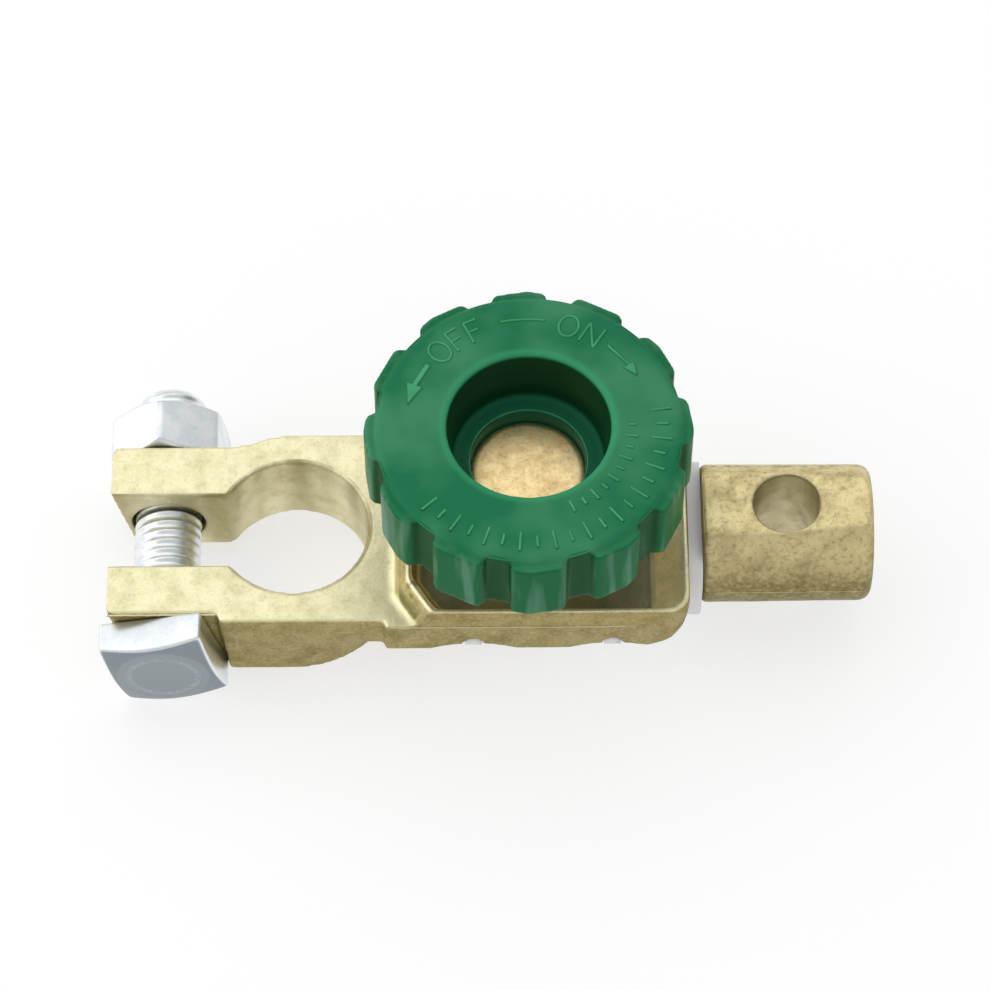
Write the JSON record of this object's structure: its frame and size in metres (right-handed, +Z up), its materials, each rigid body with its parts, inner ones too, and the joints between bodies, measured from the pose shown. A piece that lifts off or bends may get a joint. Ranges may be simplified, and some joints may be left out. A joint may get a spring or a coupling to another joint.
{
  "type": "battery disconnect switch",
  "caption": "Screw-down battery disconnect switch: a split brass post clamp with a clamp bolt, a lobed green knob that lifts a contact stud, and an insulated cable post.",
  "frame": {"origin": "the post bore's axis at the clamp's flat top", "axes": "+X along the switch from the clamp towards the cable post, +Z up along the post bore and the knob's axis, -Y on the side of the clamp bolt's square head"},
  "size_m": [0.0897, 0.0399, 0.0362],
  "materials": {
    "cast_brass": "cast, tumbled satin",
    "cast_bronze": "cast, dull satin",
    "turned_brass": "turned, slightly rough face",
    "white_nylon": "moulded",
    "green_plastic": "moulded, soft gloss",
    "zinc_plate": "bright zinc plate"
  },
  "bodies": {
    "clamp": {"clamp_casting": "cast_brass", "insulator_tray": "white_nylon", "insulator_cover": "white_nylon", "terminal_casting": "cast_bronze"},
    "contact": {"contact_stud": "turned_brass"},
    "knob": {"knob": "green_plastic"},
    "bolt": {"clamp_bolt": "zinc_plate"},
    "nut": {"clamp_nut": "zinc_plate"}
  },
  "joints": [
    {"name": "stud_lift", "type": "slide", "parent": "clamp", "child": "contact", "axis": [0, 0, 1], "range_m": [0, 0.0045]},
    {"name": "knob_turn", "type": "hinge", "parent": "contact", "child": "knob", "pos_m": [0.0273, 0, 0.0118], "axis": [0, 0, 1], "range_deg": [0, 1081]},
    {"name": "nut_turn", "type": "hinge", "parent": "clamp", "child": "nut", "pos_m": [-0.0151, 0.0145, -0.0067], "axis": [0, 1, 0], "range_deg": [0, 2161]},
    {"name": "bolt_slide", "type": "slide", "parent": "clamp", "child": "bolt", "axis": [0, -1, 0], "range_m": [0, 0.0075]}
  ],
  "couplings": [
    {"joint": "knob_turn", "follows": "stud_lift", "rad_per_m": 4188.8},
    {"joint": "nut_turn", "follows": "bolt_slide", "rad_per_m": 5026.6}
  ]
}
